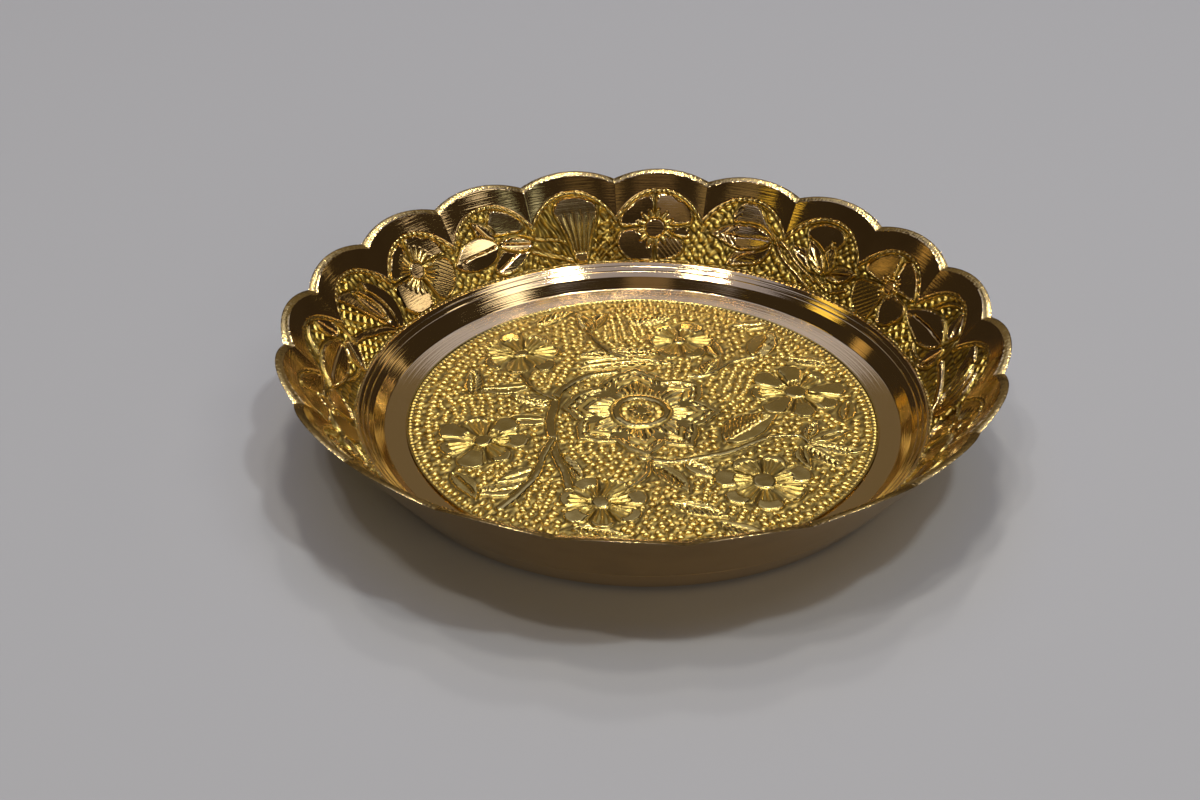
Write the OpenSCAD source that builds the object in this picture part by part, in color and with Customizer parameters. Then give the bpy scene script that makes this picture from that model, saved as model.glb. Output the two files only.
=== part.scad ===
// Puja thali, a small lobed brass dish that holds offerings, powder or a wick lamp.
// A cast wall with 20 lobes stands on a turned pan, a chased disc lies in the pan's recess,
// and a foot ring carries the pan. Brass spelter fills the three joints.
// Millimetres, +Z up. The origin is the middle of the foot, on the table.

/* [Dish] */
// Diameter over the lobe tips
dish_d = 100; // [80:1:140]
// Height from the table to the lobe tips
dish_h = 17.3; // [14:0.1:24]
// Slope of the wall above the horizontal, in degrees
wall_slope = 52.5; // [48:0.5:60]
// Thickness of the wall, square to its slope
wall_t = 1; // [0.9:0.1:2]

/* [Lobes] */
// Number of lobes round the rim
lobe_count = 20; // [12:1:28]
// Height of a lobe's tip above the cusps beside it
lobe_drop = 1.3; // [0.6:0.1:2]
// Height of the ridge between two flutes above the bed of a flute
flute_depth = 0.4; // [0.1:0.05:0.6]
// Slope of the rim's flat top, which falls inwards, in degrees
rim_tilt = 15; // [0:1:25]

/* [Pan] */
// Thickness of the pan's floor
floor_t = 1.6; // [1.4:0.1:3]
// Width of the polished bevel below the wall
bevel_w = 1.9; // [1:0.1:3]
// Height of the polished bevel
bevel_h = 1.5; // [1:0.1:2.5]
// Width of the cove between the flat border and the bevel
cove_w = 1.35; // [0.8:0.05:2]
// Height of the cove
cove_h = 1.65; // [1:0.05:2.5]
// Width of the flat turned border round the disc
border_w = 3.05; // [1.5:0.05:6]
// Height of the lap between the pan's lip and the wall's skirt
lap_h = 0.5; // [0.3:0.05:0.7]

/* [Disc] */
// Thickness of the chased disc over its raised lines
disc_t = 0.8; // [0.6:0.05:1.2]
// Depth of the sunk ground below the raised lines
relief_h = 0.3; // [0.1:0.05:0.4]
// Width of the raised lines
line_w = 0.8; // [0.4:0.1:1.5]
// Radius of the ring round the middle star
star_ring_r = 3.6; // [2.5:0.1:4.5]
// Radius of the ring round the medallion
medallion_r = 12.4; // [8:0.1:16]

/* [Foot] */
// Height of the foot ring below the pan
foot_h = 0.7; // [0.5:0.1:3]
// Width of the foot ring
foot_w = 2.2; // [1.5:0.1:4]
// Distance of the foot ring from the pan's lower edge
foot_inset = 1.4; // [0.8:0.1:3]
// Depth to which the foot ring is let into the pan
foot_seat = 0.35; // [0.2:0.05:0.5]
// Chamfer on the foot ring's edges
foot_chamfer = 0.2; // [0.1:0.05:0.3]

/* [Joints] */
// Thickness of the spelter in a joint
spelter_t = 0.1; // [0.05:0.01:0.15]
// Clearance beside a seat
seat_gap = 0.04; // [0.02:0.01:0.1]

/* [Hidden] */
$fn = 120;

// Smoothness of the lobes and of the cove
lobe_steps = 8;
wall_steps = 4;
cove_steps = 8;

// Colours of the pieces
cast_brass = [0.72, 0.57, 0.26];
turned_brass = [0.62, 0.49, 0.28];
chased_brass = [0.78, 0.62, 0.28];
spelter_brass = [0.80, 0.70, 0.42];

// Heights, from the table up
floor_h = foot_h + floor_t;
cove_top_h = floor_h + cove_h;
lip_h = cove_top_h + bevel_h;
ledge_h = lip_h - lap_h;

// The wall's faces are cones: radius of each at a height
wall_w = wall_t / sin(wall_slope);
function outer_r(z) = dish_d / 2 - (dish_h - z) / tan(wall_slope);
function inner_r(z) = outer_r(z) - wall_w;

// The pan's lip takes half of the wall's width at the ledge
lip_w = (wall_w - lap_h / tan(wall_slope)) / 2;
lip_r = inner_r(lip_h) + lip_w;

// Radii of the pan, from the lip inwards
bevel_r = inner_r(lip_h) - bevel_w;
border_r = bevel_r - cove_w;
recess_r = border_r - border_w;
recess_h = floor_h - disc_t - spelter_t;
disc_r = recess_r - seat_gap;

// Foot ring, let into the pan's underside
pan_r = outer_r(foot_h);
foot_r = pan_r - foot_inset;
foot_top_h = foot_h + foot_seat - spelter_t;

// A lobe's edge is an arc over half its chord: its radius, and how far it drops at a share u
half_chord = dish_d / 2 * sin(180 / lobe_count);
lobe_r = (half_chord ^ 2 + lobe_drop ^ 2) / (2 * lobe_drop);
function drop(u) = lobe_r - sqrt(lobe_r ^ 2 - (u * half_chord) ^ 2);

// How far the flute's face stands in from the cone, at a share u across and a share v up
function ridge(u, v) = flute_depth / sin(wall_slope) * u ^ 2 * v;

// Width of the rim's flat top at a share u across a lobe
function rim_w(u) = (wall_w + ridge(u, 1)) / (1 - tan(rim_tilt) / tan(wall_slope));

// One upright section of the wall, as [radius, height] points, from the foot of its inner
// face over the rim and down to its skirt. u runs from -1 to 1 across a lobe.
function wall_section(u) =
    let (tip_h = dish_h - drop(u))
    let (edge_h = tip_h - rim_w(u) * tan(rim_tilt))
    let (foot_z = lip_h + seat_gap)
    let (skirt_z = ledge_h + spelter_t)
    [
        for (k = [0 : wall_steps])
            let (z = foot_z + (edge_h - foot_z) * k / wall_steps)
            [inner_r(z) - ridge(u, k / wall_steps), z],
        [outer_r(tip_h), tip_h],
        [outer_r(skirt_z), skirt_z],
        [lip_r + seat_gap, skirt_z],
        [lip_r + seat_gap, foot_z],
    ];

// The wall's sections lie side by side round the dish, with the middle of a lobe on +X
module lobed_shell() {
    columns = lobe_count * lobe_steps;
    rows = wall_steps + 5;
    points = [
        for (c = [0 : columns - 1])
            let (angle = 360 * c / columns)
            let (u = 2 * abs(c / lobe_steps - round(c / lobe_steps)))
            for (p = wall_section(u))
                [p[0] * cos(angle), p[0] * sin(angle), p[1]]
    ];
    faces = [
        for (c = [0 : columns - 1])
            for (k = [0 : rows - 1])
                let (a = c * rows + k)
                let (b = c * rows + (k + 1) % rows)
                let (d = (c + 1) % columns * rows + k)
                let (e = (c + 1) % columns * rows + (k + 1) % rows)
                for (f = [[a, b, e], [a, e, d]])
                    f
    ];
    polyhedron(points = points, faces = faces, convexity = 6);
}

// A flat ring between two radii and two heights
module flat_ring(inner, outer, low, high) {
    rotate_extrude()
        polygon([[inner, low], [outer, low], [outer, high], [inner, high]]);
}

module scalloped_wall() {
    color(cast_brass)
        lobed_shell();
}

// The pan is turned: recess, flat border, cove, bevel and lip inside, one cone outside
module base_pan() {
    cove = [
        for (k = [0 : cove_steps])
            let (a = 90 * k / cove_steps)
            [border_r + cove_w * sin(a), cove_top_h - cove_h * cos(a)]
    ];
    section = concat(
        [[0, foot_h], [pan_r, foot_h], [outer_r(ledge_h), ledge_h], [lip_r, ledge_h],
         [lip_r, lip_h], [inner_r(lip_h), lip_h]],
        [for (k = [cove_steps : -1 : 0]) cove[k]],
        [[recess_r, floor_h], [recess_r, recess_h], [0, recess_h]]
    );
    color(turned_brass)
        difference() {
            rotate_extrude()
                polygon(section);
            flat_ring(foot_r - foot_w - seat_gap, foot_r + seat_gap,
                      foot_h - foot_seat, foot_h + foot_seat);
        }
}

// The disc's ground is sunk, and its edge and the medallion's rings stand up from it
module engraved_disc() {
    ground_h = floor_h - relief_h;
    color(chased_brass)
        union() {
            flat_ring(0, disc_r, floor_h - disc_t, ground_h);
            for (r = [disc_r, medallion_r, star_ring_r])
                flat_ring(r - line_w, r, floor_h - disc_t, floor_h);
        }
}

module foot_ring() {
    inner = foot_r - foot_w;
    color(turned_brass)
        rotate_extrude()
            polygon([
                [inner + foot_chamfer, 0], [foot_r - foot_chamfer, 0], [foot_r, foot_chamfer],
                [foot_r, foot_top_h], [inner, foot_top_h], [inner, foot_chamfer]
            ]);
}

// Spelter on the pan's ledge, under the wall's skirt
module wall_braze() {
    color(spelter_brass)
        rotate_extrude()
            polygon([
                [lip_r, ledge_h], [outer_r(ledge_h), ledge_h],
                [outer_r(ledge_h + spelter_t), ledge_h + spelter_t], [lip_r, ledge_h + spelter_t]
            ]);
}

// Spelter in the pan's recess, under the disc
module disc_braze() {
    color(spelter_brass)
        flat_ring(0, disc_r, recess_h, recess_h + spelter_t);
}

// Spelter in the groove above the foot ring
module foot_braze() {
    color(spelter_brass)
        flat_ring(foot_r - foot_w, foot_r, foot_top_h, foot_top_h + spelter_t);
}

scalloped_wall();
base_pan();
engraved_disc();
foot_ring();
wall_braze();
disc_braze();
foot_braze();
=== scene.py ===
import math

import bpy
import numpy as np
from mathutils import Matrix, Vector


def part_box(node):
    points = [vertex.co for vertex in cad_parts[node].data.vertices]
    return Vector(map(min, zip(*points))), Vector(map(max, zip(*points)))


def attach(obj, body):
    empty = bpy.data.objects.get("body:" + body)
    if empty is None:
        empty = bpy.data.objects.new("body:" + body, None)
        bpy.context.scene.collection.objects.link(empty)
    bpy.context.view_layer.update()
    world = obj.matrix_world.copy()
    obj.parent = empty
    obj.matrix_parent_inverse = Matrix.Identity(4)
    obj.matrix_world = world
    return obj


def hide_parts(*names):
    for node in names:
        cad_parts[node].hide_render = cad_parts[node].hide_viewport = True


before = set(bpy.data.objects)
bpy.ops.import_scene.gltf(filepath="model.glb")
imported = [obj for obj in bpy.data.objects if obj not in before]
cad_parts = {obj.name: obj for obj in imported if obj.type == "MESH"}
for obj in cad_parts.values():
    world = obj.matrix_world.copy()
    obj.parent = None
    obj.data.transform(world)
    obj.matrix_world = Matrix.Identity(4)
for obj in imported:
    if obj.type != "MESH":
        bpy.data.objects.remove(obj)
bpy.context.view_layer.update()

# The lobed wall.
# Cast brass, one sloping band with twenty shallow flutes inside. The caster filed the rim
# flat, the chaser sank the field under each lobe's arch and left flowers, sprays and buds.
MM = 0.001
lobes = 20
wall_t = 1.0
lobe_drop = 1.3
rim_tilt = math.radians(15)
seat_gap = 0.04

# At the rim the flutes are this deep, and the wall is thinner than at its foot by this much
flute_depth = 0.24
rim_thinned = 0.4

dish_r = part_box("scalloped_wall")[1].x / MM
dish_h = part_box("scalloped_wall")[1].z / MM
skirt_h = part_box("scalloped_wall")[0].z / MM
ledge_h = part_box("wall_braze")[0].z / MM
ledge_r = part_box("base_pan")[1].x / MM
lip_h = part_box("base_pan")[1].z / MM
pan_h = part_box("base_pan")[0].z / MM

wall_slope = math.atan2(dish_h - ledge_h, dish_r - ledge_r)
wall_w = wall_t / math.sin(wall_slope)
inner_lip_r = dish_r - (dish_h - lip_h) / math.tan(wall_slope) - wall_w
lip_r = inner_lip_r + (wall_w - (lip_h - ledge_h) / math.tan(wall_slope)) / 2
half_lobe = math.pi / lobes
half_chord = dish_r * math.sin(half_lobe)
lobe_r = (half_chord ** 2 + lobe_drop ** 2) / (2 * lobe_drop)

# The chased field: its floor's height from the polished border, and how far up the slope the
# arch over it stands beside a cusp and in the middle of a lobe
field_floor = -0.42
arch_foot = 7.3
arch_top = 11.7
arch_power = 2.2
wall_middle_r = 44
rim_polish = 0.5
file_marks = 0.022

# What the chaser punched beside each cusp in turn
grounds = ["lines", "bars", "lines", "pearls", "pearls", "pearls", "lines", "ribs", "pearls", "bars"]

lobe_columns = 128
face_rows = 112
rim_rows = 6
outer_rows = 8
lobes_a_piece = 5


def soft_step(distance, width):
    """0 outside, 1 inside, with a soft edge of that width round distance 0."""
    share = np.clip(distance / width + 0.5, 0, 1)
    return share * share * (3 - 2 * share)


def soft_least(*distances):
    """The least of a few distances, rounded where two are equal. Far outside a shape it may
    overflow to minus infinity, which still means outside."""
    with np.errstate(over="ignore"):
        return -np.log(sum(np.exp(-3 * d) for d in distances)) / 3


def groove(distance, width):
    """1 on a line, fading to 0 about two widths away from it."""
    return np.exp(-(distance / width) ** 2)


def wave(phase):
    """A wave between 0 and 1, at its top where the phase is 0."""
    return 0.5 + 0.5 * np.cos(phase)


def to_nearest(value):
    """How far a value is from its nearest whole number, signed."""
    return value - np.round(value)


def wobble(x, y, seed, size):
    """A smooth unevenness between about -1 and 1, a few waves of about that size in mm."""
    rng = np.random.default_rng(seed)
    total = np.zeros_like(x)
    for _ in range(5):
        turn = rng.uniform(0, 2 * np.pi)
        length = size * rng.uniform(0.7, 1.6)
        place = x * math.cos(turn) + y * math.sin(turn)
        total += np.sin(place * (2 * np.pi / length) + rng.uniform(0, 6.3))
    return total / 3


def local(x, y, foot, turn):
    """Places along and across a motif that stands on foot and points along turn, in degrees."""
    c, s = math.cos(math.radians(turn)), math.sin(math.radians(turn))
    return (x - foot[0]) * c + (y - foot[1]) * s, (y - foot[1]) * c - (x - foot[0]) * s


def round_about(x, y, centre, turn=0):
    """How far each place is from a centre, and in which direction from turn, in radians."""
    along, across = local(x, y, centre, turn)
    return np.hypot(along, across), np.arctan2(across, along)


def smooth_path(points):
    """A Catmull-Rom curve through points, six steps from one to the next."""
    p = np.array([points[0]] + list(points) + [points[-1]], float)
    out = []
    for k in range(1, len(p) - 2):
        a, b, c, d = p[k - 1:k + 3]
        for share in np.linspace(0, 1, 6, endpoint=False):
            out.append(0.5 * (2 * b + (c - a) * share + (2 * a - 5 * b + 4 * c - d) * share ** 2
                              + (3 * b - a - 3 * c + d) * share ** 3))
    return np.array(out + [p[-2]])


def distance_to(x, y, curve):
    """How far each place is from a line of straight pieces."""
    best = np.full(x.shape, np.inf)
    for (ax, ay), (bx, by) in zip(curve[:-1], curve[1:]):
        dx, dy = bx - ax, by - ay
        share = np.clip(((x - ax) * dx + (y - ay) * dy) / (dx * dx + dy * dy), 0, 1)
        best = np.minimum(best, np.hypot(x - ax - share * dx, y - ay - share * dy))
    return best


class Carving:
    """A chased surface: heights in mm, and how far each place is polished and how far covered
    by a motif, both from 0 to 1."""

    def __init__(self, x, y, ground, floor):
        self.x, self.y = x, y
        self.height = ground
        self.floor = floor
        self.polish = np.zeros_like(x)
        self.covered = np.zeros_like(x)

    def lay(self, inside, height, polish=1.0, edge=0.18, moat=0.3):
        """Cuts a moat down to the floor round a shape, then lays the shape. inside is how far
        each place is inside the shape's outline, in mm."""
        near = soft_step(inside + moat, max(moat, 0.02))
        self.height = self.height + (self.floor - self.height) * near
        self.polish = self.polish * (1 - near)
        on = soft_step(inside, edge)
        self.height = self.height + (height - self.height) * on
        self.polish = self.polish + (polish - self.polish) * on
        self.covered = np.maximum(self.covered, soft_step(inside + moat + 0.18, 0.2))

    def lay_facet(self, inside, height, line, polish=1.0):
        """A polished facet inside a raised gold line of that width."""
        self.lay(inside, 0.0, polish=0.25)
        self.lay(inside - line, height, polish, edge=0.14, moat=0.0)

    def petal(self, heart, start, end, reach, tip=0.0, roll=0.0, notch=0.0, ribs=0.0, shine=1.0):
        """A petal that fans out from a heart between two directions, as far as it may reach
        under the arch. It is tipped and rolled its own way, notched at its end, or ribbed."""
        along, across = local(self.x, self.y, heart, (start + end) / 2)
        half = math.radians(end - start) / 2
        radius, off = np.hypot(along, across), np.arctan2(across, along)
        edge = reach * (1 - 0.12 * np.abs(off / half) ** 3) - notch * groove(off, 0.16)
        side = radius * np.sin(np.clip(half - np.abs(off), -1.5, 1.5))
        inside = soft_least(edge - radius, side, self.room - 0.4)
        dome = -0.5 * ((along / reach - 0.55) ** 2 + (across / reach) ** 2)
        height = -0.06 + tip * (along - reach * 0.55) + roll * across + dome
        height = height - ribs * wave(2 * np.pi * across / 0.62) ** 2
        line = 0.25 + 0.09 * wobble(self.x, self.y, 36, 1.6)
        self.lay_facet(inside, np.maximum(height, self.floor), line, polish=shine)

    def leaf(self, foot, turn, length, width, bend=0.0, top=-0.03, left=0.05, right=-0.03,
             line=0.0, rib=0.25):
        """A pointed leaf of two facets, each with its own slant, that meet in a cut midrib."""
        along, across = local(self.x, self.y, foot, turn)
        share = np.clip(along / length, 0, 1)
        across = across - bend * length * share * (1 - share) * 4
        half = width / 2 * np.sin(np.pi * share ** 0.8) ** 0.8
        inside = np.minimum(half - np.abs(across), np.minimum(along, length - along) * 0.6)
        side = np.where(across > 0, left, right) * across
        cut = rib * groove(across, 0.14) * soft_step(0.8 - share, 0.1) * soft_step(share - 0.04, 0.06)
        height = top + side - cut
        if line:
            self.lay_facet(inside, height - 0.08, line)
        else:
            self.lay(inside, height)

    def burst(self, centre, inner, outer, count, depth):
        """Rays punched round a centre, between two radii."""
        reach, angle = round_about(self.x, self.y, centre)
        ring = soft_step(reach - inner, 0.2) * soft_step(outer - reach, (outer - inner) * 0.7)
        self.height = self.height - depth * wave(count * angle) ** 2 * ring
        self.polish = self.polish * (1 - 0.6 * ring)

    def boss(self, centre, radius, teeth=0, top=0.0):
        """The flat heart of a flower, with a cut and maybe a ring of teeth round it."""
        along, across = local(self.x, self.y, centre, 0)
        reach = np.hypot(along, across)
        if teeth:
            tooth = wave(teeth * np.arctan2(across, along))
            ring = 1.35 * radius + (radius - 0.45) * tooth - reach
            self.lay(ring, top - 0.02 - 0.1 * (1 - tooth), polish=0.25, moat=0.15)
        self.lay(radius + 0.2 - reach, self.floor + 0.08, polish=0.1, moat=0.02)
        self.lay(radius - reach, top - 0.05 + 0.03 * along, moat=0.02)

    def stem(self, points, width, top=0.0, polish=1.0):
        """A stem along a smooth curve through points."""
        inside = width / 2 - distance_to(self.x, self.y, smooth_path(points))
        self.lay(inside, top + 0.06 * np.clip(inside, 0, 1), polish, moat=0.2)


def carve_spray(c, style):
    """Pointed leaves and a petal that spring from one knot, or leaves across a round tendril."""
    if style == 0:
        c.stem([(1.0, 5.0), (4.6, 3.6), (7.2, 2.8)], 0.5, top=-0.06, polish=0.4)
        c.petal((-1.4, 6.6), 2, 62, 7.8, tip=0.05, roll=-0.07, shine=0.9)
        c.leaf((-1.2, 1.2), 26, 8.6, 3.6, left=0.07, right=-0.06, line=0.25)
        c.leaf((0.2, 5.4), 122, 5.4, 2.6, left=0.02, right=-0.06, line=0.22)
        c.leaf((6.4, 4.6), 172, 6.2, 2.4, left=0.08, right=-0.02, line=0.2)
        c.leaf((0.6, 5.2), 186, 8.4, 5.0, left=-0.05, right=0.1, rib=0.3)
    elif style == 1:
        c.stem([(5.4, 6.2), (6.8, 4.2), (9.4, 2.2), (12.6, 0.7)], 0.65, top=-0.02, polish=0.6)
        c.stem([(5.2, 6.6), (7.2, 5.6), (10.0, 3.6), (13.4, 1.9)], 0.55, top=-0.04, polish=0.6)
        c.petal((6.4, 5.4), 132, 168, 9.4, tip=0.02, roll=0.05, shine=0.9)
        c.leaf((5.0, 5.4), 214, 8.0, 3.8, left=0.06, right=-0.05, line=0.25)
        c.leaf((4.8, 6.0), 184, 10.2, 4.2, left=-0.05, right=0.06, line=0.3)
        vein = groove(to_nearest((c.x - np.abs(c.y - 5.4)) / 1.1) * 1.1, 0.16)
        c.height = c.height - 0.14 * vein * c.polish * (np.abs(c.x + 2.6) < 1.8)
    else:
        tendril = 0.25 - np.abs(np.hypot(c.x - 1.4, c.y - 6.0) - 4.8)
        c.lay(tendril, -0.05, polish=0.4)
        c.leaf((4.8, 5.2), 246, 5.2, 3.0, line=0.22)
        c.leaf((4.4, 6.6), 112, 4.8, 3.0, line=0.22)
        c.leaf((3.6, 5.4), 181, 11.4, 5.2, left=0.05, right=-0.07, line=0.3)


def carve_flower(c, style):
    """An open flower that fills the lobe, every petal a facet of its own, with rays or a ring
    of teeth round its heart. A petal's numbers are those of Carving.petal, in its order."""
    if style == 0:
        heart, radius, teeth = (-0.9, 6.2), 1.25, 0
        petals = [(93, 178, 6.2, -0.02, 0.05, 0, 0, 1.0), (8, 88, 6.8, -0.02, 0.02, 0.9, 0, 0.95),
                  (-76, 4, 6.6, -0.05, 0.02, 0, 0.03, 0.6), (183, 268, 6.8, -0.08, 0.08, 0, 0, 0.9)]
    elif style == 1:
        heart, radius, teeth = (-0.6, 5.5), 1.5, 13
        petals = [(96, 177, 6.4, 0.03, 0.02, 0, 0, 1.0), (12, 92, 6.8, -0.1, 0.02, 0.8, 0, 0.85),
                  (-16, 8, 5.6, 0.02, 0, 0, 0, 0.8), (-86, -20, 5.6, 0.05, 0.03, 0, 0.04, 0.8),
                  (183, 268, 6.5, 0.05, -0.02, 0, 0, 0.9)]
    else:
        heart, radius, teeth = (0.4, 6.1), 1.0, 17
        petals = [(98, 176, 6.6, -0.09, 0.0, 0, 0, 0.8), (4, 90, 6.8, 0.03, -0.04, 0.4, 0, 1.0),
                  (-80, -8, 6.0, -0.02, 0.06, 0, 0, 0.9), (188, 266, 6.6, 0.05, 0, 0, 0.06, 0.5)]
    for petal in petals:
        c.petal(heart, *petal)
    if not teeth:
        c.burst(heart, radius + 0.2, radius + 2.0, 22, 0.2)
    c.boss(heart, radius, teeth)


def carve_bud(c, style):
    """A ribbed bud over two stems, a petal in a fan of leaves on a stem, or a pair of curved
    leaves round a slim one, on a stout stem."""
    if style == 0:
        c.stem([(-9.6, 4.6), (-6.4, 3.0), (-2.6, 1.4), (1.6, 0.3)], 0.7, top=-0.02, polish=0.5)
        c.stem([(-9.2, 6.4), (-6.0, 5.0), (-2.6, 4.2), (0.4, 2.2)], 0.5, top=-0.05, polish=0.4)
        c.petal((0.6, -1.6), 70, 110, 12.8, tip=-0.03, shine=0.8)
        c.burst((0.6, -1.6), 3.6, 9.0, 50, 0.2)
    elif style == 1:
        c.stem([(6.6, 2.6), (3.6, 1.2), (0.8, 2.4), (-0.4, 4.4)], 0.5, top=-0.06, polish=0.4)
        c.petal((-0.3, 3.4), 60, 124, 7.6, tip=-0.04, roll=0.02, shine=0.9)
        c.leaf((1.8, 3.2), 22, 6.0, 2.6, line=0.22)
        c.leaf((1.6, 3.4), 158, 7.4, 2.6, line=0.22)
        c.leaf((1.8, 3.4), 96, 4.6, 2.4, line=0.2)
        c.leaf((1.4, 3.2), 132, 6.2, 2.4, line=0.2)
        c.burst((1.6, 3.4), 0.6, 3.4, 22, 0.14)
    else:
        c.stem([(-8.4, 4.4), (-4.6, 3.6), (-1.2, 2.2), (3.4, 0.4)], 1.0, top=-0.02)
        c.leaf((3.6, 0.6), 100, 8.6, 3.2, bend=-0.1, left=0.04, right=-0.03, rib=0)
        c.leaf((2.8, 0.8), 130, 12.0, 3.6, bend=-0.14, left=0.03, right=0.0, rib=0)
        c.leaf((1.8, 2.8), 112, 6.4, 1.8, line=0.24, top=-0.06)


def ground_near(cusp, beside, t):
    """The punched ground beside one cusp, 0 in its hollows and 1 or a little more on its tops."""
    kind = grounds[cusp % len(grounds)]
    if kind == "pearls":
        return np.sqrt(wave(2 * np.pi * (beside + t) / 1.5) * wave(2 * np.pi * (beside - t) / 1.5))
    if kind == "lines":
        strips = [groove(to_nearest((beside + side * t) / 1.75) * 1.75, 0.24) for side in (-1, 1)]
        return 1.3 * np.maximum(*strips)
    if kind == "ribs":
        return wave(2 * np.pi * (t * 0.35 + beside) / 0.85)
    row = np.floor(t / 1.5)
    bars = wave(2 * np.pi * (beside / 0.95 + 0.5 * row))
    return bars * np.sin(np.pi * (t / 1.5 - row)) ** 0.5


def motif_number(lobe):
    """Lobes count from +X. The row of motifs starts with number -5 at the lobe nearest the
    camera, which doesn't see that lobe's inner face."""
    return (lobe + lobes // 4) % lobes - lobes // 4


def carve_lobe(lobe, x, t, share, half, turn):
    """Heights and polish of one lobe's inner face. x runs to the right from mid-lobe and t up
    the slope, in mm. share is 0 in mid-lobe and 1 or -1 at the cusps, where x is half."""
    arch = arch_foot + (arch_top - arch_foot) * (1 - np.abs(share) ** arch_power)
    lean = (arch_top - arch_foot) * arch_power * np.abs(share) ** (arch_power - 1) / half
    under = (arch - t) / np.sqrt(1 + lean ** 2)
    ring_x, ring_y = wall_middle_r * np.cos(turn), wall_middle_r * np.sin(turn) + 0.7 * t
    x = x + 0.15 * wobble(ring_x, ring_y, 31, 5)
    t = t + 0.15 * wobble(ring_x, ring_y, 32, 5)

    beside = half - np.abs(x) + 0.2 * wobble(ring_x, ring_y, 34, 2.2)
    up = t + 0.2 * wobble(ring_x, ring_y, 35, 2.2)
    ground = np.where(x > 0, ground_near(lobe, beside, up), ground_near(lobe + 1, beside, up))
    ground = ground + 0.4 * wobble(ring_x, ring_y, 33, 1.3)
    carving = Carving(x, t, field_floor + 0.24 * ground, field_floor)

    # leaves and stems cross into the next lobe, but petals have no room there
    designs = [carve_bud, carve_spray, carve_flower]
    for side in (-1, 1, 0):
        number = motif_number(lobe - side)
        carving.x = x - side * 2 * half
        carving.room = under - 99 * abs(side)
        designs[number % 3](carving, (2 - number // 3) % 3)

    # the notched line under the arch, and the notched sill along the foot
    notch = wave(2 * np.pi * x / 0.85)
    carving.lay(0.26 - np.abs(under - 0.28), -0.02 - 0.14 * notch, polish=0.3, moat=0.12)
    carving.lay(0.3 - np.abs(t - 0.1), -0.1 - 0.12 * notch, polish=0.3, moat=0.15)
    border = soft_step(-under, 0.2)
    return carving.height * (1 - border), carving.polish * (1 - border) + border


def store(mesh, **columns):
    """Keeps a number for every vertex under each name, for node trees and materials to read."""
    for name, values in columns.items():
        layer = mesh.attributes.new(name, "FLOAT", "POINT")
        layer.data.foreach_set("value", np.ascontiguousarray(values, np.float32).ravel())


def wall_sector(first_lobe):
    """A few lobes as rows and columns of vertices. They still lie in one point: attributes say
    where each belongs, and the node tree below bends them into the wall."""
    rise = np.concatenate([np.linspace(0, 0.993, face_rows), np.ones(rim_rows),
                           np.linspace(0.99, 0, outer_rows), [0, 0]])
    across = np.concatenate([np.zeros(face_rows), np.linspace(0.1, 0.88, rim_rows),
                             np.ones(outer_rows), [0, 0]])
    seat_r, seat_z = np.zeros((2, len(rise)))
    seat_r[-2:] = lip_r + seat_gap
    seat_z[-2:] = skirt_h, lip_h + seat_gap

    turns = np.linspace(first_lobe - 0.5, first_lobe - 0.5 + lobes_a_piece,
                        lobes_a_piece * lobe_columns + 1) * 2 * half_lobe
    turn, rise = np.meshgrid(turns, rise, indexing="ij")
    across, seat_r, seat_z = (np.broadcast_to(v, turn.shape) for v in (across, seat_r, seat_z))
    height = np.zeros(turn.shape)
    polish = np.ones(turn.shape)
    for k in range(lobes_a_piece):
        lobe = first_lobe + k
        patch = slice(k * lobe_columns, (k + 1) * lobe_columns + 1), slice(0, face_rows)
        share = (turn[patch] - lobe * 2 * half_lobe) / half_lobe
        drop = lobe_r - np.sqrt(lobe_r ** 2 - (share * half_chord) ** 2)
        t = rise[patch] * ((dish_h - drop - 0.45 - lip_h) / math.sin(wall_slope))
        half = (inner_lip_r + t * math.cos(wall_slope)) * half_lobe
        height[patch], polish[patch] = carve_lobe(lobe, -share * half, t, share, half, turn[patch])

    # the rim is a little crowned, and half dull from the file
    rim = slice(face_rows, face_rows + rim_rows)
    filed = np.random.default_rng(first_lobe).normal(0, file_marks, height[:, rim].shape)
    height[:, rim] = filed - 0.02 - 0.4 * (across[:, rim] - 0.5) ** 2
    polish[:, rim] = rim_polish

    index = np.arange(turn.size).reshape(turn.shape)
    a, b = index[:-1], index[1:]
    quads = np.stack([a, np.roll(a, -1, 1), np.roll(b, -1, 1), b], -1).reshape(-1, 4)
    faces = [*quads.tolist(), index[0][::-1], index[-1]]
    mesh = bpy.data.meshes.new("lobed_wall")
    mesh.from_pydata(np.zeros((turn.size, 3)), [], faces, shade_flat=False)
    store(mesh, turn=turn, rise=rise, across=across, seat_r=seat_r, seat_z=seat_z, relief=height,
          polish=polish)
    return mesh


class Wire:
    """A wire in a node tree. Wires add up and multiply, so that a formula reads as one."""

    def __init__(self, tree, socket):
        self.tree, self.socket = tree, socket

    def of(self, operation, *others):
        slots = dict(enumerate((self, *others)))
        return add_node(self.tree, "ShaderNodeMath", slots, operation=operation)

    def __add__(self, other):
        return self.of("ADD", other)

    def __sub__(self, other):
        return self.of("SUBTRACT", other)

    def __mul__(self, other):
        return self.of("MULTIPLY", other)

    def __truediv__(self, other):
        return self.of("DIVIDE", other)

    def __pow__(self, other):
        return self.of("POWER", other)


def plug(tree, node, slots):
    """Plugs wires into a node's slots, or sets slots to plain values."""
    for slot, value in slots.items():
        if isinstance(value, Wire):
            tree.links.new(value.socket, node.inputs[slot])
        else:
            node.inputs[slot].default_value = value


def add_node(tree, kind, slots=(), output=0, **settings):
    """Adds a node and returns the wire from one of its outputs."""
    node = tree.nodes.new(kind)
    for key, value in settings.items():
        setattr(node, key, value)
    plug(tree, node, dict(slots))
    return Wire(tree, node.outputs[output])


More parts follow.
